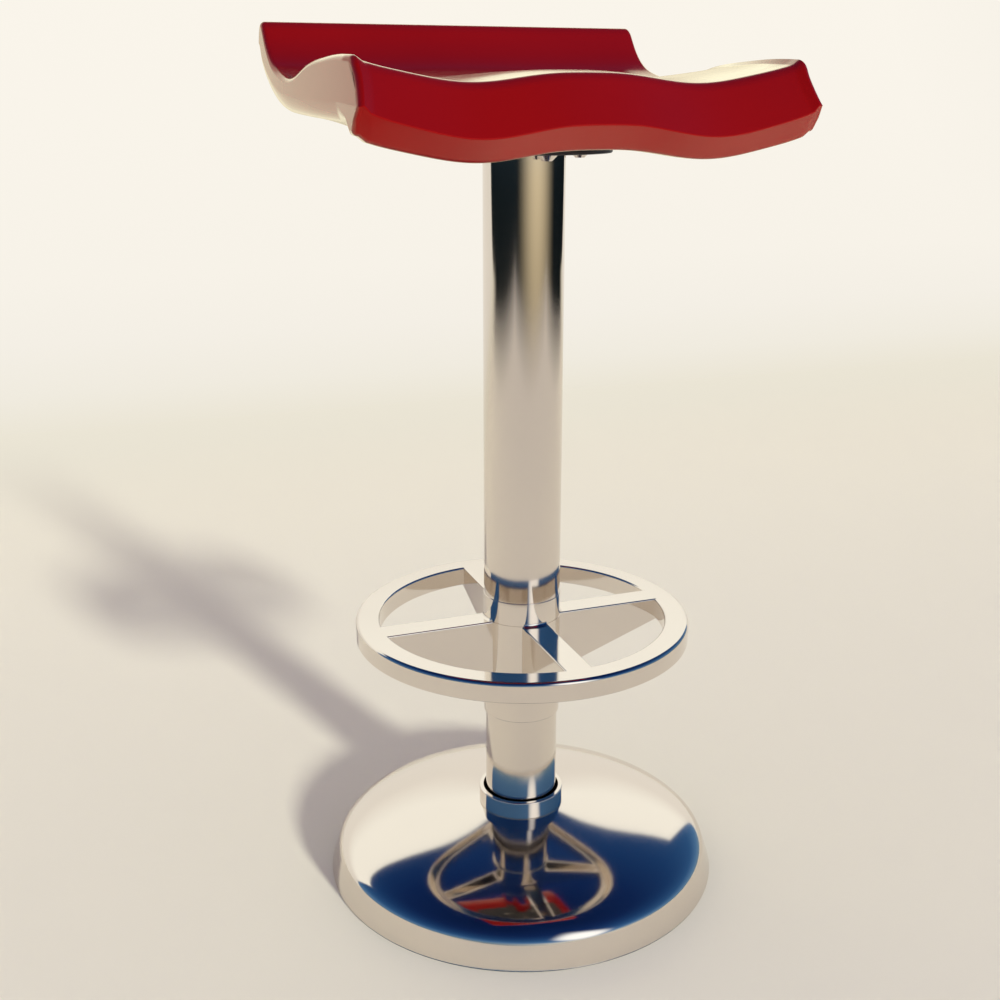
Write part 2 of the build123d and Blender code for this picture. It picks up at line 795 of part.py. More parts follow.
# Moulded shell: the whole visible body, hollowed from below round a ledge for the panel
with BuildPart() as seat_shell:
    add(seat_body.part)
    with BuildSketch(Plane.XY.offset(panel_top)):
        panel_outline(panel_ledge)
    extrude(amount=hollow_top - panel_top, mode=Mode.SUBTRACT)
    with BuildSketch(Plane.XY.offset(seat_foot - seat_rise)):
        panel_outline(0)
    extrude(amount=panel_top - seat_foot + seat_rise, mode=Mode.SUBTRACT)
seat_shell.part.label = "seat_shell"

# Underside panel with the boss that the plate is screwed to and the lever's channel
with BuildPart() as seat_panel:
    with BuildSketch(Plane.XY.offset(panel_top - panel_wall)):
        panel_outline(panel_gap)
    extrude(amount=panel_wall)
    with BuildSketch(Plane.XY.offset(plate_top)):
        Circle(plate_radius)
    extrude(amount=panel_top - plate_top)
    with BuildSketch(Plane.XY.offset(plate_top)):
        with PolarLocations(seat_screw_circle, seat_screw_count):
            Circle(insert_radius + fixed_fit)
    extrude(amount=insert_recess + insert_length, mode=Mode.SUBTRACT)
    with BuildSketch(lever_plane.offset(plate_top)):
        with Locations((plate_radius / 2, 0)):
            Rectangle(plate_radius + channel_width + over, channel_width)
    extrude(amount=channel_height, mode=Mode.SUBTRACT)
seat_panel.part.label = "seat_panel"

# Threaded inserts in the boss
with BuildPart() as seat_inserts:
    with BuildSketch(Plane.XY.offset(plate_top + insert_recess)):
        with PolarLocations(seat_screw_circle, seat_screw_count):
            Circle(insert_radius)
        with PolarLocations(seat_screw_circle, seat_screw_count):
            Circle(seat_screw_radius + fixed_fit, mode=Mode.SUBTRACT)
    extrude(amount=insert_length)
seat_inserts.part.label = "seat_inserts"

# Screws with deep tapered heads and hexagon sockets
with BuildPart() as seat_screws:
    with BuildSketch(Plane.XY.offset(plate_foot)):
        with PolarLocations(seat_screw_circle, seat_screw_count):
            Circle(seat_screw_radius)
    extrude(amount=plate_thickness + insert_recess + seat_screw_depth)
    with PolarLocations(seat_screw_circle, seat_screw_count):
        with Locations((0, 0, plate_foot - seat_screw_head_height / 2)):
            Cone(seat_screw_tip_radius, seat_screw_head_radius, seat_screw_head_height)
    with BuildSketch(Plane.XY.offset(plate_foot - seat_screw_head_height)):
        with PolarLocations(seat_screw_circle, seat_screw_count):
            RegularPolygon(screw_hex_flats / 2, 6, major_radius=False)
    extrude(amount=screw_hex_depth, mode=Mode.SUBTRACT)
seat_screws.part.label = "seat_screws"

os.makedirs("parts", exist_ok=True)
for piece in (
    floor_ring, ballast_plate, base_shell, base_collar, buffer_ring, lower_tube, tube_flange, flange_screws,
    lift_tube, foot_cap, guide_bush, column_spacer, column_cap, lower_race, upper_race, bearing_balls,
    ball_cage, piston_rod, rod_clip, piston, piston_seal, gas_cylinder, rod_gland, valve_button, cover_tube,
    foot_ring, sleeve_bush, seat_plate, lever_pin, release_lever, lever_grip, seat_shell, seat_panel,
    seat_inserts, seat_screws,
):
    export_step(piece.part, f"parts/{piece.part.label}.step")
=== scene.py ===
import json
import math

import bmesh
import bpy
import numpy as np
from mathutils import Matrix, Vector


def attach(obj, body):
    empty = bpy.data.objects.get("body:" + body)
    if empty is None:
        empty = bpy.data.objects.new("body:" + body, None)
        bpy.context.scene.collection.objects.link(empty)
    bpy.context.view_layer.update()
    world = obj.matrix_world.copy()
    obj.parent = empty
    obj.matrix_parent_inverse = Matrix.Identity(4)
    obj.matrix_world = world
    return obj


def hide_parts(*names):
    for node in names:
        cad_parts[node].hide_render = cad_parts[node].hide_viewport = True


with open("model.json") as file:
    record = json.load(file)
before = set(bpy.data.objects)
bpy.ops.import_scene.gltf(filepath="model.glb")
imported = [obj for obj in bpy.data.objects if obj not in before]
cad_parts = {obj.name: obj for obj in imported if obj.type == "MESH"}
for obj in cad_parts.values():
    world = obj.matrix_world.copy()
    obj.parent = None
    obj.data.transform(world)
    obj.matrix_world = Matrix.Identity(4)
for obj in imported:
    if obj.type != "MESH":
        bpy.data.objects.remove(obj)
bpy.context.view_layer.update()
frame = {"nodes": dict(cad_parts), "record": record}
MM = 0.001

# The photograph's camera, in the stool's frame
CAMERA_PLACE = Vector((-438.2, -1127.5, 773.2)) * MM
CAMERA_HEADING = math.radians(20.20)
CAMERA_DIP = math.radians(17.33)
FOCAL_SHARE = 1.29
SENSOR = 36.0
SIGHT_REACH = 100.0

# Stage: a paper floor that sweeps up into a back wall, in metres
STAGE_LEFT = -4.5
STAGE_RIGHT = 4.8
STAGE_FRONT = -4.5
SWEEP_START = 2.0
SWEEP_RADIUS = 1.7
SWEEP_STEPS = 24
WALL_HEIGHT = 3.6

# Places on the stage where one look fades into another: the lit floor into the wall's painted
# shading, that wall into a brighter painted glow, and the floor's and the sides' edges into nothing
PAINTED_SHADING_FROM, PAINTED_SHADING_TO = 0.8, 2.1
# Painted light: higher up, the wall glows up to this strength, brighter than white
PAINTED_GLOW_FROM, PAINTED_GLOW_TO, PAINTED_GLOW_STRENGTH = 1.15, 2.0, 1.2
FLOOR_EDGE_FROM, FLOOR_EDGE_TO, FLOOR_LEVEL = 2.3, 4.0, 0.01
SIDE_EDGE_FROM, SIDE_EDGE_TO = 3.0, 4.4

# Backdrop's painted shading, darker on the floor and lighter up the wall, by the way inwards and up it
PAPER = (0.795, 0.77, 0.665, 1)
TONE_REACH = 6.0
BACKDROP_PAINTED_SHADING = (
    (0.6, (226, 217, 201)),
    (1.3, (230, 222, 206)),
    (1.86, (233, 227, 211)),
    (2.07, (235, 229, 213)),
    (2.39, (240, 235, 223)),
    (2.75, (244, 239, 229)),
    (3.17, (247, 242, 232)),
    (4.1, (249, 244, 234)),
    (4.9, (250, 245, 235)),
    (5.6, (250, 249, 240)),
)
BACKGROUND = (244, 239, 229)

# Sky that only gloss shows, by elevation in degrees: a dark room below the horizon,
# and near the lamp's heading a warm glitter in its place
ROOM_STOPS = (
    (-90, (30, 31, 28)),
    (-12, (17, 21, 20)),
    (-1.5, (18, 27, 32)),
    (1.0, (116, 150, 176)),
)
SKY_STOPS = (
    (10, (84, 126, 172)),
    (22, (48, 90, 142)),
    (40, (27, 62, 114)),
    (55, (15, 40, 90)),
    (90, (9, 28, 70)),
)
GLITTER_STOPS = (
    (-40, (0.012, 0.014, 0.014, 1)),
    (-14, (0.2, 0.165, 0.1, 1)),
    (-3, (0.66, 0.56, 0.37, 1)),
    (1.0, (0.6, 0.62, 0.6, 1)),
)
GLITTER_REACH = math.radians(58)
GLITTER_STRENGTH = 1.2

# Soft glow high over the lamp's heading, oval, with its middle and top as heights on the unit sphere
GLOW_REACH = math.radians(21)
GLOW_MIDDLE = 0.42
GLOW_TOP = 0.88
GLOW_STRENGTH = 1.45
GLOW_COLOUR = (0.95, 0.98, 1.0, 1)

# Key lamp
LAMP_HEADING = math.radians(165.0)
LAMP_RISE = math.radians(15.6)
LAMP_SPREAD = math.radians(5.6)
LAMP_STRENGTH = 5.1
LAMP_DISTANCE = 5.0
LAMP_COLOUR = (0.985, 0.985, 0.86)

# Light of the world on matt surfaces
AMBIENT = (0.365, 0.325, 0.44, 1)

# Lacquer: the metallic share of its flake, and how its coat gains with the turn from the eye
LACQUER_DARK = (0.275, 0.0026, 0.0042, 1)
LACQUER_LIGHT = (0.300, 0.0032, 0.0050, 1)
LACQUER_SHEEN = (0.85, 0.25, 0.15, 1)
LACQUER_FLAKE = 0.48
LACQUER_ROUGHNESS = (0.40, 0.44)
LACQUER_GRAIN = 6.0
PEEL_GRAIN = 420.0
PEEL_DEPTH = 0.03
COAT_COLOUR = (0.98, 0.93, 0.735, 1)
COAT_ROUGHNESS = 0.16
COAT_GAIN = (
    (0.0, 0.0),
    (0.2, 0.012),
    (0.32, 0.075),
    (0.5, 0.085),
    (0.7, 0.11),
    (0.8, 0.44),
    (0.87, 0.93),
    (0.94, 0.88),
    (1.0, 0.79),
)
CHROME = (0.765, 0.705, 0.64, 1)

# Span of the slow noise over which a material varies, and the height of its relief in metres
VARY_FROM, VARY_TO = 0.3, 0.7
RELIEF_HEIGHT = 0.0002
SHARP_ANGLE = math.radians(32.0)

# How finely the shapes are divided: round the axis, along an arc and round a spoke's edge
SEGMENTS = 256
FINE_SEGMENTS = 320
ARC_STEPS = 8
EDGE_STEPS = 6

# Domed base and collar, in millimetres
WALL_STEPS, WALL_END_SHARE = 14, 0.98
CHAMFER_IN, CHAMFER_UP = 0.3, 0.2
WALL_RADIUS, WALL_TOP, BASE_RADIUS, LIP_HEIGHT = 192.4, 24.8, 200.0, 0.8
SHELL_WALL, DOME_POINTS, INSIDE_STEP = 2.0, 121, 4
COLLAR_RADIUS, PAD_HEIGHT, COLLAR_TOP, MOUTH_RADIUS, COLLAR_FLOOR = 43.5, 66.0, 84.0, 39.0, 2.0
PAD_SLOPE = math.radians(8.5)
DOME_SHARES = ((0, 1), (0.3795, 0.7985), (0.7153, 0.5558), (0.8899, 0.3374), (0.9704, 0.1553), (1, 0))

# Column's tubes, in millimetres, with the gap between pieces that are pushed together
TUBE_RADIUS, TUBE_BORE, TUBE_FOOT, TUBE_TOP = 36.5, 34.5, 23.0, 520.0
COVER_RADIUS, COVER_BORE, TURNED_RADIUS = 38.0, 36.9, 37.45
COVER_FOOT, HUB_TOP, PLATE_FOOT = 291.0, 301.0, 726.0
PUSH_GAP = 0.02

# Cast foot ring, in millimetres
RING_OUTER, RING_INNER, RING_TOP, RING_HEIGHT = 166.8, 143.2, 277.0, 19.5
HUB_RADIUS, HUB_FOOT, CASTING_WALL = 38.5, 173.1, 3.5
SPOKE_START, SPOKE_END, SPOKE_WIDTH = 33.0, 155.0, 27.0
GUSSET, SPOKE_DEPTH = 63.0, 18.0
SPOKE_ROUND, CORE_ROUND = 1.5, 0.5
BORE_LEFT, CUT_MARGIN = 0.8, 10.0
SEAM_DEPTH, SEAM_HEIGHTS = 0.6, (0.3, 0.9, 1.2)
FOOT_FILLET, FILLET_ROOT, FILLET_REACH, FILLET_NARROWER = 3.0, 1.5, 60.0, 3.0

# Seat, in millimetres
SEAT_HALF_WIDTH, SEAT_FRONT, SEAT_DEPTH, SEAT_FOOT, SEAT_RISE = 197.25, -176.5, 392.5, 745.5, 98.0
WAVE_DIP, WAVE_FALL = 10.0, 14.0
NOSE_LENGTH, NOSE_LOW, NOSE_HIGH, CREASE_WIDER, BROW_NARROWER = 46.0, 757.0, 790.0, 2.6, 5.0
SKIRT_ROUND, CREASE_ROUND, BROW_ROUND, NORMAL_BLEND = 3.0, 1.0, 7.5, 3.0
END_ROUND, END_ROUND_BELOW, END_DEPTH_BELOW = 5.0, 16.0, 8.0
BELOW_FROM, BELOW_OVER = 40.0, 30.0
END_STEPS, SEAT_COLUMNS, COLUMN_MARGIN = 8, 112, 1.0
TOP_POINTS, UNDER_POINTS, LIP_POINTS = 110, 80, 22
PANEL_X, PANEL_FRONT, PANEL_BACK, PANEL_CORNER = 160.0, -84.0, 88.0, 30.0
PANEL_CEILING, RECESS_DEPTH = 763.5, 40.0

# Points round the seat as shares of its depth, of its rise and of the wave that they follow
TOP_SHARES = (
    (0.088, 0.593, 0.78),
    (0.180, 0.607, 0.72),
    (0.317, 0.597, 0.62),
    (0.468, 0.556, 0.45),
    (0.610, 0.466, 0.28),
    (0.715, 0.474, 0.16),
    (0.758, 0.502, 0.10),
    (0.847, 0.607, 0.03),
    (0.903, 0.770, 0),
    (0.936, 0.930, 0),
)
LIP_SHARES = ((0.936, 0.930, 0), (0.966, 1.0, 0), (0.992, 0.908, 0), (1.0, 0.760, 0))
UNDER_SHARES = (
    (1.0, 0.760, 0),
    (0.972, 0.556, 0),
    (0.908, 0.372, 0),
    (0.824, 0.240, 0),
    (0.735, 0.168, 0),
    (0.631, 0.138, 0),
    (0.366, 0.107, 0.15),
    (0.233, 0.095, 0.45),
    (0.106, 0.077, 0.80),
)
SKIRT_INNER = (0.073, 0, 0.87)
SKIRT_OUTER = (0.040, 0, 0.87)
BEVEL = (0, 0.219, 1)
BROW = (0.070, 0.587, 0.80)


def srgb(red, green, blue):
    def linear(value):
        value /= 255
        return value / 12.92 if value <= 0.04045 else ((value + 0.055) / 1.055) ** 2.4

    return (linear(red), linear(green), linear(blue), 1.0)


def heading_vector(heading, rise):
    """Unit vector from a heading, clockwise from +Y, and a rise above the level."""
    return Vector((math.sin(heading) * math.cos(rise), math.cos(heading) * math.cos(rise), math.sin(rise)))


# Camera
camera = bpy.data.objects.new("camera", bpy.data.cameras.new("camera"))
bpy.context.scene.collection.objects.link(camera)
camera.data.sensor_width = SENSOR
camera.data.lens = FOCAL_SHARE * SENSOR
camera.location = CAMERA_PLACE
camera.rotation_euler = heading_vector(CAMERA_HEADING, -CAMERA_DIP).to_track_quat("-Z", "Y").to_euler()
camera.data.clip_end = SIGHT_REACH
bpy.context.scene.camera = camera
bpy.context.scene.view_settings.view_transform = "Standard"


class Nodes:
    """A material's or world's node tree with short calls for adding and joining nodes."""

    def __init__(self, owner):
        owner.use_nodes = True
        self.tree = owner.node_tree
        self.tree.nodes.clear()

    def add(self, kind, inputs=None, **settings):
        node = self.tree.nodes.new(kind)
        for name, value in settings.items():
            setattr(node, name, value)
        for name, value in (inputs or {}).items():
            if isinstance(value, bpy.types.NodeSocket):
                self.tree.links.new(value, node.inputs[name])
            else:
                node.inputs[name].default_value = value
        return node

    def mix(self, share, first, second):
        node = self.add("ShaderNodeMixShader", {"Fac": share})
        self.tree.links.new(first.outputs[0], node.inputs[1])
        self.tree.links.new(second.outputs[0], node.inputs[2])
        return node

    def maths(self, operation, *values):
        return self.add("ShaderNodeMath", dict(enumerate(values)), operation=operation).outputs[0]

    def between(self, value, low, high, first=0.0, last=1.0, **settings):
        """The value carried over from low..high to first..last."""
        spans = {"From Min": low, "From Max": high, "To Min": first, "To Max": last}
        return self.add("ShaderNodeMapRange", {"Value": value, **spans}, **settings).outputs[0]

    def ramp(self, factor, stops):
        node = self.add("ShaderNodeValToRGB", {"Fac": factor})
        elements = node.color_ramp.elements
        while len(elements) < len(stops):
            elements.new(0.5)
        for element, (place, colour) in zip(elements, stops):
            element.position = place
            element.color = colour
        return node.outputs["Color"]

    def noise(self, scale, detail=3.0, stretch=(1, 1, 1)):
        """Noise over the object's own coordinates, so that it moves with the piece."""
        place = self.add("ShaderNodeTexCoord").outputs["Object"]
        mapped = self.add("ShaderNodeMapping", {"Vector": place, "Scale": stretch}).outputs[0]
        texture = self.add("ShaderNodeTexNoise", {"Vector": mapped, "Scale": scale, "Detail": detail})
        return texture.outputs["Fac"]

    def relief(self, height, depth):
        inputs = {"Height": height, "Strength": depth, "Distance": RELIEF_HEIGHT}
        return self.add("ShaderNodeBump", inputs).outputs[0]


def surface(name, colour, variation, metallic, roughness, spread, grain, bump, depth, stretch=(1, 1, 1)):
    """A procedural material: colour and roughness vary with a slow noise, a fine one gives the relief."""
    material = bpy.data.materials.new(name)
    nodes = Nodes(material)
    slow = nodes.noise(grain, 4.0, stretch)
    dark = tuple(max(0.0, channel * (1 - variation)) for channel in colour[:3]) + (1.0,)
    light = tuple(min(1.0, channel * (1 + variation)) for channel in colour[:3]) + (1.0,)
    principled = nodes.add(
        "ShaderNodeBsdfPrincipled",
        {
            "Base Color": nodes.ramp(slow, ((VARY_FROM, dark), (VARY_TO, light))),
            "Metallic": metallic,
            "Roughness": nodes.between(slow, VARY_FROM, VARY_TO, roughness - spread, roughness + spread),
            "Normal": nodes.relief(nodes.noise(bump, 3.0, stretch), depth),
        },
    )
    nodes.add("ShaderNodeOutputMaterial", {"Surface": principled.outputs[0]})
    return material


def lacquer(name):
    """Candy red: a red metallic base under a clear coat that mirrors at a low angle, with a faint peel."""
    material = bpy.data.materials.new(name)
    nodes = Nodes(material)
    slow = nodes.noise(LACQUER_GRAIN, 2.0)
    peel = nodes.relief(nodes.noise(PEEL_GRAIN, 2.0), PEEL_DEPTH)
    base = nodes.add(
        "ShaderNodeBsdfPrincipled",
        {
            "Base Color": nodes.ramp(slow, ((VARY_FROM, LACQUER_DARK), (VARY_TO, LACQUER_LIGHT))),
            "Metallic": LACQUER_FLAKE,
            "Roughness": nodes.between(slow, VARY_FROM, VARY_TO, *LACQUER_ROUGHNESS),
            "Normal": peel,
            "Specular Tint": LACQUER_SHEEN,
        },
    )
    coat = nodes.add(
        "ShaderNodeBsdfAnisotropic",
        {"Color": COAT_COLOUR, "Roughness": COAT_ROUGHNESS, "Normal": peel},
    )
    facing = nodes.add("ShaderNodeLayerWeight", {"Blend": 0.5}).outputs["Facing"]
    share = nodes.ramp(facing, [(turn, (gain, gain, gain, 1)) for turn, gain in COAT_GAIN])
    nodes.add("ShaderNodeOutputMaterial", {"Surface": nodes.mix(share, base, coat).outputs[0]})
    return material


# Colour, its variation, metallic share, roughness and its spread, grain, relief's scale and depth, stretch
SURFACES = {
    "chrome": (CHROME, 0.012, 1.0, 0.085, 0.010, 9.0, 900.0, 0.004),
    "chromed_casting": (CHROME, 0.015, 1.0, 0.085, 0.010, 12.0, 300.0, 0.005),
    "bright_steel": ((0.62, 0.61, 0.6, 1), 0.05, 1.0, 0.28, 0.06, 60.0, 1500.0, 0.08, (1, 1, 12)),
    "black_steel": ((0.022, 0.022, 0.025, 1), 0.12, 0.0, 0.5, 0.06, 80.0, 1800.0, 0.5),
    "iron": ((0.1, 0.098, 0.095, 1), 0.25, 0.7, 0.65, 0.1, 70.0, 500.0, 0.8),
    "rubber": ((0.022, 0.022, 0.022, 1), 0.15, 0.0, 0.75, 0.08, 90.0, 900.0, 0.5),
    "aluminium": ((0.72, 0.72, 0.73, 1), 0.04, 1.0, 0.32, 0.05, 50.0, 1200.0, 0.1, (1, 1, 10)),
    "nylon": ((0.66, 0.63, 0.55, 1), 0.05, 0.0, 0.45, 0.06, 60.0, 900.0, 0.2),
    "grip_plastic": ((0.028, 0.028, 0.03, 1), 0.1, 0.0, 0.55, 0.06, 90.0, 1600.0, 0.45),
    "brass": ((0.62, 0.44, 0.18, 1), 0.06, 1.0, 0.3, 0.06, 60.0, 1100.0, 0.1),
}
MATERIALS = {name: surface(name, *look) for name, look in SURFACES.items()}
MATERIALS["red_gloss"] = lacquer("red_gloss")

# Every carried over node takes the material of its slot in the record
for row in frame["record"]["subparts"]:
    carried = frame["nodes"][row["node"]]
    carried.data.materials.clear()
    carried.data.materials.append(MATERIALS[row["material_slot"]])


def spline(points, start, end, count):
    """Points along a smooth cubic through the given ones, with set headings at its ends or none."""
    points = np.array(points, float)
    chord = np.hypot(*np.diff(points, axis=0).T)
    knots = np.concatenate([[0], np.cumsum(chord)])
    size = len(points)
    matrix, right = np.zeros((size, size)), np.zeros((size, points.shape[1]))
    for row in range(1, size - 1):
        before, after = chord[row - 1], chord[row]
        back, ahead = points[row] - points[row - 1], points[row + 1] - points[row]
        matrix[row, row - 1 : row + 2] = after, 2 * (before + after), before
        right[row] = 3 * (after / before * back + before / after * ahead)
    for row, heading in ((0, start), (size - 1, end)):
        other, length = (1, chord[0]) if row == 0 else (size - 2, chord[-1])
        if heading is None:
            matrix[row, row], matrix[row, other] = 2, 1
            right[row] = 3 * (points[max(row, other)] - points[min(row, other)]) / length
        else:
            matrix[row, row] = 1
            right[row] = heading
    slopes = np.linalg.solve(matrix, right)
    made = []
    for place in np.linspace(0, knots[-1], count):
        span = min(int(np.searchsorted(knots, place, "right")) - 1, size - 2)
        length = chord[span]
        t = (place - knots[span]) / length
        made.append(
            (2 * t**3 - 3 * t**2 + 1) * points[span]
            + (t**3 - 2 * t**2 + t) * length * slopes[span]
            + (3 * t**2 - 2 * t**3) * points[span + 1]
            + (t**3 - t**2) * length * slopes[span + 1]
        )
    return np.array(made)


def rounded(corners, steps=5):
    """A closed outline from (radius, height, rounding) corners, each rounded by an arc."""
    made = []
    for place, (r, z, rounding) in enumerate(corners):
        corner = np.array((r, z), float)
        if rounding == 0:
            made.append(corner)
            continue
        before = np.array(corners[place - 1][:2], float) - corner
        after = np.array(corners[(place + 1) % len(corners)][:2], float) - corner
        before, after = before / np.hypot(*before), after / np.hypot(*after)
        half = math.acos(max(-1.0, min(1.0, float(before @ after)))) / 2
        reach = rounding / math.tan(half)
        middle = corner + (before + after) / np.hypot(*(before + after)) * rounding / math.sin(half)
        first, last = corner + before * reach - middle, corner + after * reach - middle
        turn = math.atan2(first[0] * last[1] - first[1] * last[0], float(first @ last))
        for step in range(steps + 1):
            angle = turn * step / steps
            c, s = math.cos(angle), math.sin(angle)
            made.append(middle + np.array((first[0] * c - first[1] * s, first[0] * s + first[1] * c)))
    return [tuple(p) for p in made]


def turned(profile, segments=SEGMENTS):
    """A closed body about the column's axis, from (radius, height) points in order."""
    count = len(profile)
    vertices, faces = [], []
    for step in range(segments):
        angle = 2 * math.pi * step / segments
        vertices += [(r * math.cos(angle), r * math.sin(angle), z) for r, z in profile]
    for step in range(segments):
        here, there = step * count, (step + 1) % segments * count
        for place in range(count):
            after = (place + 1) % count
            faces.append((here + place, there + place, there + after, here + after))
    return vertices, faces


def prism_faces(size):
    """Sides and ends of a body whose vertices are two outlines of the same size."""
    sides = [(i, (i + 1) % size, size + (i + 1) % size, size + i) for i in range(size)]
    return sides + [tuple(range(size))[::-1], tuple(range(size, 2 * size))]


def body_object(name, vertices, faces):
    """An object of its own, from vertices in millimetres, with its faces' normals outwards."""
    mesh = bpy.data.meshes.new(name)
    mesh.from_pydata([tuple(float(c) * MM for c in v) for v in vertices], [], faces)
    mesh.validate()
    work = bmesh.new()
    work.from_mesh(mesh)
    bmesh.ops.recalc_face_normals(work, faces=work.faces)
    work.to_mesh(mesh)
    work.free()
    made = bpy.data.objects.new(name, mesh)
    bpy.context.scene.collection.objects.link(made)
    return made


def shade(piece):
    """Smooth shading with sharp edges, which a cut takes away with the piece's modifiers."""
    piece.data.shade_smooth()
    piece.data.set_sharp_from_angle(angle=SHARP_ANGLE)
    piece.modifiers.new("even_shading", "WEIGHTED_NORMAL").keep_sharp = True


def show(piece, body, slot, node):
    """Gives a piece its looks and the body that it rides, and hides the node that it stands for."""
    piece.data.materials.clear()
    piece.data.materials.append(MATERIALS[slot])
    shade(piece)
    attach(piece, body)
    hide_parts(node)


def cut(target, others, operation):
    """Joins other bodies to the target, or cuts them from it, and takes them away."""
    for other in others:
        modifier = target.modifiers.new("cut", "BOOLEAN")
        modifier.operation = operation
        modifier.solver = "EXACT"
        modifier.object = other
    mesh = bpy.data.meshes.new_from_object(target.evaluated_get(bpy.context.evaluated_depsgraph_get()))
    target.modifiers.clear()
    target.data = mesh
    for other in others:
        bpy.data.objects.remove(other)


# Domed base: the same curve as the shell's, closed to a thin wall
reach, rise = WALL_RADIUS - COLLAR_RADIUS, PAD_HEIGHT - WALL_TOP
lean = math.atan2(WALL_TOP - LIP_HEIGHT, BASE_RADIUS - WALL_RADIUS)
dome = spline(
    [(COLLAR_RADIUS + out * reach, WALL_TOP + up * rise) for out, up in DOME_SHARES],
    (math.cos(PAD_SLOPE), -math.sin(PAD_SLOPE)),
    (math.cos(lean), -math.sin(lean)),
    DOME_POINTS,
)
slopes = np.gradient(dome, axis=0)
slopes /= np.hypot(*slopes.T)[:, None]
inside = (dome + np.column_stack([slopes[:, 1], -slopes[:, 0]]) * SHELL_WALL)[::INSIDE_STEP]
wall_inset = SHELL_WALL / math.sin(lean)
wall_side = [
    (WALL_RADIUS + (BASE_RADIUS - WALL_RADIUS) * share, WALL_TOP + (LIP_HEIGHT - WALL_TOP) * share)
    for share in np.linspace(0, WALL_END_SHARE, WALL_STEPS)[1:]
]
base_profile = (
    [(TUBE_RADIUS + PUSH_GAP, PAD_HEIGHT)]
    + [tuple(p) for p in dome]
    + wall_side
    + [(BASE_RADIUS, LIP_HEIGHT + CHAMFER_UP), (BASE_RADIUS - CHAMFER_IN, LIP_HEIGHT)]
    + [(BASE_RADIUS - wall_inset, LIP_HEIGHT)]
    + [tuple(p) for p in inside[::-1]]
    + [(TUBE_RADIUS + PUSH_GAP, PAD_HEIGHT - SHELL_WALL)]
)
base_dome = body_object("base_dome", *turned(base_profile, FINE_SEGMENTS))
show(base_dome, "base", "chrome", "base_shell")

# Turned pieces: name, body, replaced node and (radius, height, rounding) corners
TURNED_PIECES = (
    (
        "collar",
        "base",
        "base_collar",
        (
            (TUBE_RADIUS + PUSH_GAP, PAD_HEIGHT, 0),
            (COLLAR_RADIUS, PAD_HEIGHT, 0.7),
            (COLLAR_RADIUS, COLLAR_TOP, 0.9),
            (MOUTH_RADIUS, COLLAR_TOP, 0.6),
            (MOUTH_RADIUS, PAD_HEIGHT + COLLAR_FLOOR, 0.3),
            (TUBE_RADIUS + PUSH_GAP, PAD_HEIGHT + COLLAR_FLOOR, 0),
        ),
    ),
    (
        "column_tube",
        "base",
        "lower_tube",
        (
            (TUBE_BORE, TUBE_FOOT, 0.3),
            (TUBE_RADIUS, TUBE_FOOT, 0.3),
            (TUBE_RADIUS, TUBE_TOP, 0.4),
            (TUBE_BORE, TUBE_TOP, 0.4),
        ),
    ),
    (
        "cover_sleeve",
        "lift",
        "cover_tube",
        (
            (COVER_BORE, COVER_FOOT, 0.1),
            (TURNED_RADIUS, COVER_FOOT, 0.1),
            (TURNED_RADIUS, HUB_TOP, 0),
            (COVER_RADIUS, HUB_TOP, 0.2),
            (COVER_RADIUS, PLATE_FOOT, 0.3),
            (COVER_BORE, PLATE_FOOT, 0.3),
        ),
    ),
)
for name, body, node, corners in TURNED_PIECES:
    show(body_object(name, *turned(rounded(corners))), body, "chrome", node)


# Moulded seat: outlines that change across its width with the front's wave, a nose that
# flares downwards, and rounded ends. Its dish is deeper than the CAD's.
def wave_drop(share):
    dip = ((1 - math.cos(2 * math.pi * share)) / 2) ** 1.5
    return WAVE_DIP * dip + WAVE_FALL * (1 - share**8)


def seat_points(shares, share):
    drop = wave_drop(share)
    return np.array(
        [(SEAT_FRONT + a * SEAT_DEPTH, SEAT_FOOT + u * SEAT_RISE - f * drop) for a, u, f in shares], float
    )


def heading_to(start, end):
    return (end - start) / np.hypot(*(end - start))


def along(start, end, distance):
    return start + heading_to(start, end) * distance


def line(start, end, count):
    return start + (end - start) * np.linspace(0, 1, count)[:, None]


def bezier(start, middle, end, count):
    t = np.linspace(0, 1, count)[:, None]
    return (1 - t) ** 2 * start + 2 * t * (1 - t) * middle + t**2 * end


def seat_outline(share):
    """The seat's closed outline at a share of its half width: top, lip, underside, skirt and nose."""
    top = spline(seat_points(TOP_SHARES, share), None, None, TOP_POINTS)
    under = spline(seat_points(UNDER_SHARES, share), None, None, UNDER_POINTS)
    lip_start, lip_end = heading_to(top[-2], top[-1]), heading_to(under[0], under[1])
    lip = spline(seat_points(LIP_SHARES, share), lip_start, lip_end, LIP_POINTS)
    inner, outer, bevel, brow = seat_points((SKIRT_INNER, SKIRT_OUTER, BEVEL, BROW), share)
    pieces = (
        top,
        lip,
        under,
        line(under[-1], inner, 8),
        line(inner, along(outer, inner, SKIRT_ROUND), 6),
        bezier(along(outer, inner, SKIRT_ROUND), outer, along(outer, bevel, SKIRT_ROUND), 7),
        line(along(outer, bevel, SKIRT_ROUND), along(bevel, outer, CREASE_ROUND), 10),
        bezier(along(bevel, outer, CREASE_ROUND), bevel, along(bevel, brow, CREASE_ROUND), 6),
        line(along(bevel, brow, CREASE_ROUND), along(brow, bevel, BROW_ROUND), 18),
        bezier(along(brow, bevel, BROW_ROUND), brow, top[0], 10),
    )
    return np.concatenate([piece[:-1] for piece in pieces])


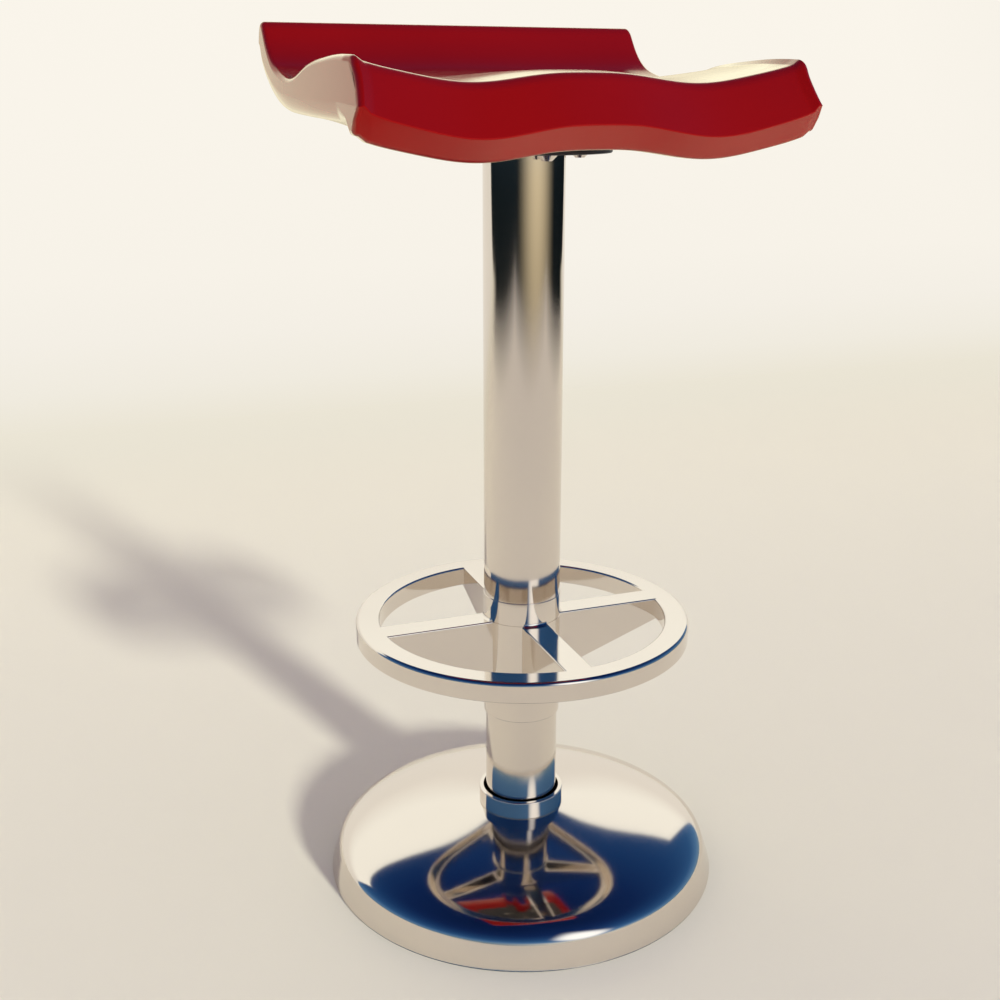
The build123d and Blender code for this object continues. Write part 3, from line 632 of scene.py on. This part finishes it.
def outline_normals(outline):
    """Headings out of a closed outline, smoothed over its neighbours."""
    step = np.roll(outline, -1, axis=0) - outline
    length = np.hypot(*step.T)
    normals = np.column_stack([-step[:, 1], step[:, 0]]) / length[:, None]
    place = np.concatenate([[0], np.cumsum(length)[:-1]]) + length / 2
    whole = length.sum()
    apart = np.abs(place[:, None] - (place - length / 2)[None, :])
    apart = np.minimum(apart, whole - apart)
    weight = np.exp(-((apart / NORMAL_BLEND) ** 2)) * length[:, None]
    blended = weight.T @ normals
    return blended / np.hypot(*blended.T)[:, None]


def flare(x, outline):
    """The nose is narrower at the brow and wider at the crease than the rest."""
    front = np.clip((SEAT_FRONT + NOSE_LENGTH - outline[:, 0]) / NOSE_LENGTH, 0, 1)
    up = np.clip((outline[:, 1] - NOSE_LOW) / (NOSE_HIGH - NOSE_LOW), 0, 1)
    widening = front * (CREASE_WIDER * (1 - up) - BROW_NARROWER * up)
    return x * (1 + widening / SEAT_HALF_WIDTH)


# Ends of the seat: an edge that is rounded wider behind the nose, on the underside
end = seat_outline(1.0)
count = len(end)
normals = outline_normals(end)
behind_nose = np.clip((end[:, 0] - SEAT_FRONT - BELOW_FROM) / BELOW_OVER, 0, 1)
lower = np.clip(-normals[:, 1], 0, 1) * behind_nose
rounding_in = END_ROUND + (END_ROUND_BELOW - END_ROUND) * lower
rounding_out = END_ROUND + (END_DEPTH_BELOW - END_ROUND) * lower
widest = SEAT_HALF_WIDTH - rounding_out

# The seat's outlines in order across it: left end, columns and right end
outlines = []
for step in range(END_STEPS, -1, -1):
    angle = math.pi / 2 * step / END_STEPS
    inset = rounding_in * (1 - math.cos(angle))
    outlines.append((-(widest + rounding_out * math.sin(angle)), end - normals * inset[:, None]))
for column in range(1, SEAT_COLUMNS):
    share = -1 + 2 * column / SEAT_COLUMNS
    if abs(share) * SEAT_HALF_WIDTH < float(widest.min()) - COLUMN_MARGIN:
        outlines.append((share * SEAT_HALF_WIDTH, seat_outline(abs(share))))
for step in range(END_STEPS + 1):
    angle = math.pi / 2 * step / END_STEPS
    inset = rounding_in * (1 - math.cos(angle))
    outlines.append((widest + rounding_out * math.sin(angle), end - normals * inset[:, None]))
vertices, faces = [], []
for x, outline in outlines:
    vertices.extend(zip(flare(np.broadcast_to(x, count), outline), outline[:, 0], outline[:, 1]))
for here in range(0, (len(outlines) - 1) * count, count):
    for place in range(count):
        after = (place + 1) % count
        faces.append((here + place, here + after, here + count + after, here + count + place))
faces.append(tuple(range(count)))
faces.append(tuple(range(len(vertices) - 1, len(vertices) - count - 1, -1)))
seat = body_object("moulded_seat", vertices, faces)
show(seat, "lift", "red_gloss", "seat_shell")

# Recess under the seat, in which its panel lies
recess = []
for side_x, side_y, start in ((1, 1, 0), (-1, 1, 90), (-1, -1, 180), (1, -1, 270)):
    middle_x = side_x * (PANEL_X - PANEL_CORNER)
    middle_y = PANEL_BACK - PANEL_CORNER if side_y > 0 else PANEL_FRONT + PANEL_CORNER
    for step in range(ARC_STEPS + 1):
        angle = math.radians(start + 90 * step / ARC_STEPS)
        recess.append((middle_x + PANEL_CORNER * math.cos(angle), middle_y + PANEL_CORNER * math.sin(angle)))
recess_vertices = [(x, y, z) for z in (PANEL_CEILING - RECESS_DEPTH, PANEL_CEILING) for x, y in recess]
cut(seat, [body_object("recess", recess_vertices, prism_faces(len(recess)))], "DIFFERENCE")
shade(seat)


# Cast foot ring: rim, spokes with gussets and hub joined into one body, cored from below
def spoke(start, end, width, top, foot_in, foot_out, rounding):
    """A spoke along +X with rounded top edges, whose foot rises outwards, as (vertices, faces)."""
    half = width / 2
    made = []
    for x, foot in ((start, foot_in), (end, foot_out)):
        section = [(-half, foot), (half, foot)]
        for side, steps in ((1, range(EDGE_STEPS + 1)), (-1, range(EDGE_STEPS, -1, -1))):
            for step in steps:
                angle = math.pi / 2 * step / EDGE_STEPS
                out, up = rounding * math.cos(angle), rounding * math.sin(angle)
                section.append((side * (half - rounding + out), top - rounding + up))
        made += [(x, y, z) for y, z in section]
    return made, prism_faces(len(made) // 2)


def spokes_round(number, *measures):
    """A number of spokes, each a quarter turn further round the column's axis."""
    vertices, faces = spoke(*measures)
    made = []
    for quarter in range(number):
        c, s = math.cos(math.pi / 2 * quarter), math.sin(math.pi / 2 * quarter)
        made.append(body_object("spoke", [(x * c - y * s, x * s + y * c, z) for x, y, z in vertices], faces))
    return made


rim_corners = (
    (RING_INNER, RING_TOP - RING_HEIGHT, 0.4),
    (RING_OUTER, RING_TOP - RING_HEIGHT, 1.0),
    (RING_OUTER, RING_TOP, 3.8),
    (RING_INNER, RING_TOP, 2.0),
)
casting = body_object("foot_ring_casting", *turned(rounded(rim_corners, ARC_STEPS), FINE_SEGMENTS))
feet = (RING_TOP - GUSSET, RING_TOP - SPOKE_DEPTH)
spokes = spokes_round(4, SPOKE_START, SPOKE_END, SPOKE_WIDTH, RING_TOP, *feet, SPOKE_ROUND)
cut(casting, spokes, "UNION")

bore = [
    (SPOKE_START - CUT_MARGIN, HUB_FOOT - CUT_MARGIN),
    (HUB_RADIUS - BORE_LEFT, HUB_FOOT - CUT_MARGIN),
    (HUB_RADIUS - BORE_LEFT, RING_TOP + CUT_MARGIN),
    (SPOKE_START - CUT_MARGIN, RING_TOP + CUT_MARGIN),
]
cut(casting, [body_object("bore", *turned(bore, FINE_SEGMENTS))], "DIFFERENCE")

core_top = RING_TOP - CASTING_WALL
core_width = SPOKE_WIDTH - 2 * CASTING_WALL
rim_core = [
    (RING_INNER + CASTING_WALL, HUB_FOOT),
    (RING_OUTER - CASTING_WALL, HUB_FOOT),
    (RING_OUTER - CASTING_WALL, core_top),
    (RING_INNER + CASTING_WALL, core_top),
]
core_measures = (HUB_RADIUS + CASTING_WALL, SPOKE_END, core_width, core_top, HUB_FOOT, HUB_FOOT, CORE_ROUND)
cores = [body_object("core", *turned(rim_core, FINE_SEGMENTS)), *spokes_round(4, *core_measures)]
cut(casting, cores, "DIFFERENCE")

seam_foot, seam_middle, seam_top = SEAM_HEIGHTS
hub_corners = (
    (COVER_BORE, HUB_FOOT, 0),
    (HUB_RADIUS, HUB_FOOT, 0.5),
    (HUB_RADIUS, RING_TOP, 0),
    (HUB_RADIUS - SEAM_DEPTH, RING_TOP + seam_foot, 0),
    (HUB_RADIUS - SEAM_DEPTH, RING_TOP + seam_middle, 0),
    (HUB_RADIUS, RING_TOP + seam_top, 0),
    (HUB_RADIUS, HUB_TOP, 0.6),
    (TURNED_RADIUS + PUSH_GAP, HUB_TOP, 0),
    (TURNED_RADIUS + PUSH_GAP, COVER_FOOT, 0),
    (COVER_BORE, COVER_FOOT, 0),
)
cut(casting, [body_object("hub", *turned(rounded(hub_corners)))], "UNION")

# Fillets where the spokes' tops meet the hub, cut from one turned fillet by a cross of spokes
fillet = [
    (HUB_RADIUS - FILLET_ROOT, RING_TOP - FILLET_ROOT),
    (HUB_RADIUS + FOOT_FILLET, RING_TOP - FILLET_ROOT),
]
for step in range(ARC_STEPS + 1):
    angle = math.pi / 2 * step / ARC_STEPS
    out, up = FOOT_FILLET * (1 - math.sin(angle)), FOOT_FILLET * (1 - math.cos(angle))
    fillet.append((HUB_RADIUS + out, RING_TOP + up))
fillet.append((HUB_RADIUS - FILLET_ROOT, RING_TOP + FOOT_FILLET))
fillets = body_object("fillets", *turned(fillet, FINE_SEGMENTS))
cross_top, cross_foot = RING_TOP + CUT_MARGIN, RING_TOP - CUT_MARGIN
cross_measures = (SPOKE_WIDTH - FILLET_NARROWER, cross_top, cross_foot, cross_foot, CORE_ROUND)
cross, arm = spokes_round(2, -FILLET_REACH, FILLET_REACH, *cross_measures)
cut(cross, [arm], "UNION")
cut(fillets, [cross], "INTERSECT")
cut(casting, [fillets], "UNION")
show(casting, "lift", "chromed_casting", "foot_ring")

# Stage: its section across the floor, round the sweep and up the wall
section = [(STAGE_FRONT, 0.0), (0.0, 0.0), (SWEEP_START, 0.0)]
for step in range(1, SWEEP_STEPS + 1):
    angle = math.pi / 2 * step / SWEEP_STEPS
    section.append((SWEEP_START + SWEEP_RADIUS * math.sin(angle), SWEEP_RADIUS * (1 - math.cos(angle))))
section.append((SWEEP_START + SWEEP_RADIUS, WALL_HEIGHT))
stage_mesh = bpy.data.meshes.new("stage")
stage_mesh.from_pydata(
    [(x, y, z) for y, z in section for x in (STAGE_LEFT, STAGE_RIGHT)],
    [],
    [(2 * i, 2 * i + 1, 2 * i + 3, 2 * i + 2) for i in range(len(section) - 1)],
)
stage_mesh.shade_smooth()
stage = bpy.data.objects.new("stage", stage_mesh)
bpy.context.scene.collection.objects.link(stage)

# Paper: lit near the stool; further in, for rays that look or mirror, a glowing backdrop with painted
# shading; clear at its edges
paper = bpy.data.materials.new("paper")
nodes = Nodes(paper)
place = nodes.add("ShaderNodeTexCoord").outputs["Object"]
split = nodes.add("ShaderNodeSeparateXYZ", {"Vector": place}).outputs
path = nodes.add("ShaderNodeLightPath").outputs
looking = nodes.maths("MAXIMUM", path["Is Camera Ray"], path["Is Glossy Ray"])
looking_through = nodes.maths("MAXIMUM", looking, path["Is Transmission Ray"])

inwards = nodes.maths("ADD", split["Y"], split["Z"])
# Painted shading: the glowing backdrop runs from darker on the floor to lighter up the wall
painted_shading = nodes.ramp(
    nodes.between(inwards, 0.0, TONE_REACH),
    [(reach / TONE_REACH, srgb(*colour)) for reach, colour in BACKDROP_PAINTED_SHADING],
)
# Painted light: higher up the wall the emission grows stronger than white
painted_glow = nodes.between(split["Z"], PAINTED_GLOW_FROM, PAINTED_GLOW_TO, 1.0, PAINTED_GLOW_STRENGTH)
painted_backdrop = nodes.add("ShaderNodeEmission", {"Color": painted_shading, "Strength": painted_glow})
fade = nodes.between(split["Y"], PAINTED_SHADING_FROM, PAINTED_SHADING_TO, interpolation_type="SMOOTHSTEP")

matt = nodes.add("ShaderNodeBsdfDiffuse", {"Color": PAPER})
clear = nodes.add("ShaderNodeBsdfTransparent")
across = nodes.maths("ABSOLUTE", split["X"])
outwards = nodes.maths("MAXIMUM", across, nodes.maths("MULTIPLY", split["Y"], -1.0))
floor_edge = nodes.maths(
    "MULTIPLY",
    nodes.between(outwards, FLOOR_EDGE_FROM, FLOOR_EDGE_TO),
    nodes.maths("LESS_THAN", split["Z"], FLOOR_LEVEL),
)
side_edge = nodes.between(across, SIDE_EDGE_FROM, SIDE_EDGE_TO)
floor = nodes.mix(nodes.maths("MULTIPLY", floor_edge, looking), matt, clear)
backdrop = nodes.mix(nodes.maths("MULTIPLY", looking_through, fade), floor, painted_backdrop)
whole = nodes.mix(nodes.maths("MULTIPLY", side_edge, path["Is Camera Ray"]), backdrop, clear)
nodes.add("ShaderNodeOutputMaterial", {"Surface": whole.outputs[0]})
stage_mesh.materials.append(paper)

# World: plain pale to the camera, soft and even to matt surfaces, and in gloss an evening
# sky over a dark room, with glitter and a soft glow on the lamp's side
world = bpy.data.worlds.new("world")
bpy.context.scene.world = world
nodes = Nodes(world)
direction = nodes.add("ShaderNodeTexCoord").outputs["Generated"]
height = nodes.add("ShaderNodeSeparateXYZ", {"Vector": direction}).outputs["Z"]
sky_share = nodes.between(height, -1.0, 1.0)


def sky_stops(stops):
    """Ramp stops from elevations in degrees: the ramp runs over the height on the unit sphere."""
    return [((math.sin(math.radians(elevation)) + 1) / 2, colour) for elevation, colour in stops]


room_stops = [(elevation, srgb(*colour)) for elevation, colour in ROOM_STOPS]
high_stops = [(elevation, srgb(*colour)) for elevation, colour in SKY_STOPS]
sky = nodes.ramp(sky_share, sky_stops([*room_stops, *high_stops]))
glitter = nodes.ramp(sky_share, sky_stops([*GLITTER_STOPS, *high_stops]))

# How near a ray's level heading comes to the lamp's, as a cosine
level = nodes.add("ShaderNodeVectorMath", {0: direction, 1: (1.0, 1.0, 0.0)}, operation="MULTIPLY").outputs[0]
level = nodes.add("ShaderNodeVectorMath", {0: level}, operation="NORMALIZE").outputs[0]
heading = nodes.add(
    "ShaderNodeVectorMath",
    {0: level, 1: (math.sin(LAMP_HEADING), math.cos(LAMP_HEADING), 0.0)},
    operation="DOT_PRODUCT",
).outputs["Value"]
near_lamp = nodes.maths("POWER", nodes.between(heading, math.cos(GLITTER_REACH), 1.0), 2.0)
aside = nodes.between(heading, 1.0, math.cos(GLOW_REACH), clamp=False)
above = nodes.between(height, GLOW_MIDDLE, GLOW_TOP, clamp=False)
from_glow = nodes.maths("ADD", aside, nodes.maths("MULTIPLY", above, above))
near_glow = nodes.between(from_glow, 1.0, 0.0, interpolation_type="SMOOTHERSTEP")

even = nodes.add("ShaderNodeBackground", {"Color": AMBIENT})
plain = nodes.add("ShaderNodeBackground", {"Color": srgb(*BACKGROUND)})
evening = nodes.add("ShaderNodeBackground", {"Color": sky})
lamplight = nodes.add("ShaderNodeBackground", {"Color": glitter, "Strength": GLITTER_STRENGTH})
soft_glow = nodes.add("ShaderNodeBackground", {"Color": GLOW_COLOUR, "Strength": GLOW_STRENGTH})
mirrored = nodes.mix(near_glow, nodes.mix(near_lamp, evening, lamplight), soft_glow)
path = nodes.add("ShaderNodeLightPath").outputs
glossy = nodes.maths("MAXIMUM", path["Is Glossy Ray"], path["Is Transmission Ray"])
whole = nodes.mix(path["Is Camera Ray"], nodes.mix(glossy, even, mirrored), plain)
nodes.add("ShaderNodeOutputWorld", {"Surface": whole.outputs[0]})

# Key lamp, low in front of the stool, which gloss doesn't show
towards_lamp = heading_vector(LAMP_HEADING, LAMP_RISE)
lamp = bpy.data.objects.new("key_lamp", bpy.data.lights.new("key_lamp", "SUN"))
bpy.context.scene.collection.objects.link(lamp)
lamp.data.energy = LAMP_STRENGTH
lamp.data.angle = LAMP_SPREAD
lamp.data.color = LAMP_COLOUR
lamp.visible_glossy = False
lamp.location = towards_lamp * LAMP_DISTANCE
lamp.rotation_euler = towards_lamp.to_track_quat("Z", "Y").to_euler()
